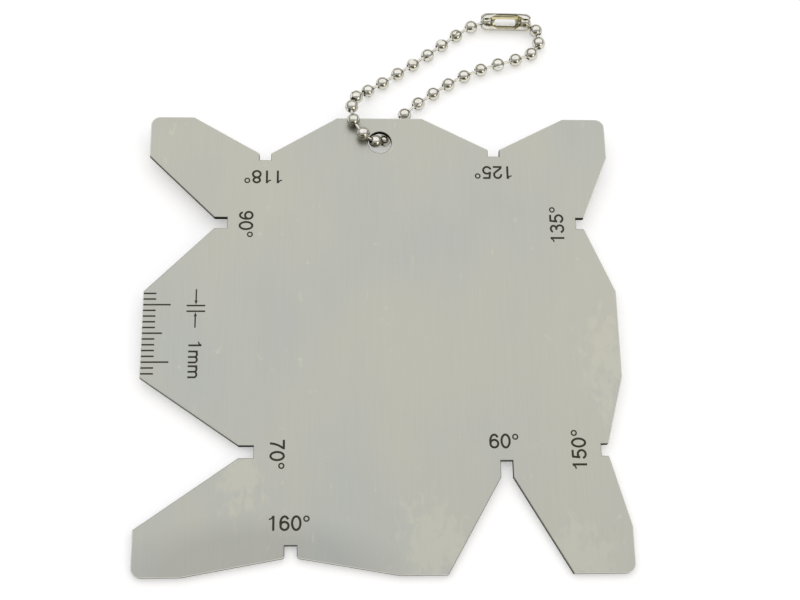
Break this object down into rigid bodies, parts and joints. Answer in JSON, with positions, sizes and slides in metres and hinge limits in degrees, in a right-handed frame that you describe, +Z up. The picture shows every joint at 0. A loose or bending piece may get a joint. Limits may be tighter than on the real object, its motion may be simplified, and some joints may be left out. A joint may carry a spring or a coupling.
{
  "type": "drill point gauge",
  "caption": "Square sheet steel gauge with V notches for checking drill point angles, a millimetre scale on one edge, and a ball chain loop through its top hole.",
  "frame": {"origin": "on the table, at the middle of the bottom of the whole object's box", "axes": "+Y across the table from the plate's lower edge to its hole and chain, +X along its lower edge, +Z up from the table"},
  "size_m": [0.08, 0.1028, 0.0058],
  "materials": {
    "plate": "satin sheet steel with a faint grain",
    "bead": "bright nickel plating",
    "link": "bright nickel plating",
    "connector": "bright nickel plating"
  },
  "bodies": {
    "plate": {"gauge_plate": "plate"},
    "loop_start": {"over_bead_01": "bead", "over_bead_02": "bead", "over_bead_03": "bead", "over_bead_04": "bead", "over_bead_05": "bead", "over_bead_06": "bead", "over_bead_07": "bead", "over_link_01": "link", "over_link_02": "link", "over_link_03": "link", "over_link_04": "link", "over_link_05": "link", "over_link_06": "link", "hole_link": "link", "under_bead_01": "bead", "under_bead_02": "bead", "under_bead_03": "bead", "under_link_01": "link", "under_link_02": "link"},
    "links_1": {"over_link_07": "link", "under_link_03": "link"},
    "beads_1": {"over_bead_08": "bead", "under_bead_04": "bead"},
    "links_2": {"over_link_08": "link", "under_link_04": "link"},
    "beads_2": {"over_bead_09": "bead", "under_bead_05": "bead"},
    "links_3": {"over_link_09": "link", "under_link_05": "link"},
    "beads_3": {"over_bead_10": "bead", "under_bead_06": "bead"},
    "links_4": {"over_link_10": "link", "under_link_06": "link"},
    "beads_4": {"over_bead_11": "bead", "under_bead_07": "bead"},
    "links_5": {"over_link_11": "link", "under_link_07": "link"},
    "beads_5": {"over_bead_12": "bead", "under_bead_08": "bead"},
    "links_6": {"over_link_12": "link", "under_link_08": "link"},
    "loop_end": {"over_bead_13": "bead", "over_bead_14": "bead", "over_link_13": "link", "under_bead_09": "bead", "under_bead_10": "bead", "under_bead_11": "bead", "under_bead_12": "bead", "under_bead_13": "bead", "under_bead_14": "bead", "under_link_09": "link", "under_link_10": "link", "under_link_11": "link", "under_link_12": "link", "under_link_13": "link"},
    "connector": {"chain_connector": "connector"}
  },
  "joints": [
    {"name": "loop_swivel", "type": "hinge", "parent": "plate", "child": "loop_start", "pos_m": [0, 0.02385, 0.0033], "axis": [0, -0.0306, 0.9995], "range_deg": [-30, 8]},
    {"name": "fold_01", "type": "hinge", "parent": "loop_start", "child": "links_1", "pos_m": [0.003, 0.034, 0.00114], "axis": [0.5167, -0.8562, 0.0023], "range_deg": [-20, 20]},
    {"name": "fold_02", "type": "hinge", "parent": "links_1", "child": "beads_1", "pos_m": [0.00495, 0.03556, 0.00115], "axis": [-0.5121, 0.859, -0.0002], "range_deg": [-20, 20]},
    {"name": "fold_03", "type": "hinge", "parent": "beads_1", "child": "links_2", "pos_m": [0.00567, 0.0361, 0.00115], "axis": [-0.5111, 0.8595, -0.0002], "range_deg": [-20, 20]},
    {"name": "fold_04", "type": "hinge", "parent": "links_2", "child": "beads_2", "pos_m": [0.00772, 0.03752, 0.00115], "axis": [0.5105, -0.8599, 0.0002], "range_deg": [-20, 20]},
    {"name": "fold_05", "type": "hinge", "parent": "beads_2", "child": "links_3", "pos_m": [0.00846, 0.03804, 0.00115], "axis": [0.5105, -0.8599, 0.0002], "range_deg": [-20, 20]},
    {"name": "fold_06", "type": "hinge", "parent": "links_3", "child": "beads_3", "pos_m": [0.01047, 0.03953, 0.00115], "axis": [-0.5112, 0.8595, -0.0002], "range_deg": [-20, 20]},
    {"name": "fold_07", "type": "hinge", "parent": "beads_3", "child": "links_4", "pos_m": [0.0112, 0.04005, 0.00115], "axis": [-0.5119, 0.859, -0.0002], "range_deg": [-20, 20]},
    {"name": "fold_08", "type": "hinge", "parent": "links_4", "child": "beads_4", "pos_m": [0.01326, 0.04146, 0.00115], "axis": [0.5148, -0.8573, 0.0002], "range_deg": [-20, 20]},
    {"name": "fold_09", "type": "hinge", "parent": "beads_4", "child": "links_5", "pos_m": [0.01401, 0.04194, 0.00115], "axis": [0.5153, -0.857, 0.0002], "range_deg": [-20, 20]},
    {"name": "fold_10", "type": "hinge", "parent": "links_5", "child": "beads_5", "pos_m": [0.01615, 0.04321, 0.00115], "axis": [-0.5151, 0.8571, -0.0002], "range_deg": [-20, 20]},
    {"name": "fold_11", "type": "hinge", "parent": "beads_5", "child": "links_6", "pos_m": [0.01693, 0.04364, 0.00115], "axis": [-0.5142, 0.8576, -0.0002], "range_deg": [-20, 20]},
    {"name": "fold_12", "type": "hinge", "parent": "links_6", "child": "loop_end", "pos_m": [0.01913, 0.04478, 0.00114], "axis": [0.5096, -0.8604, 0.0023], "range_deg": [-20, 20]},
    {"name": "connector_roll", "type": "hinge", "parent": "loop_end", "child": "connector", "pos_m": [0.02371, 0.04982, 0.00155], "axis": [0.9999, -0.0127, 0], "continuous": true}
  ]
}
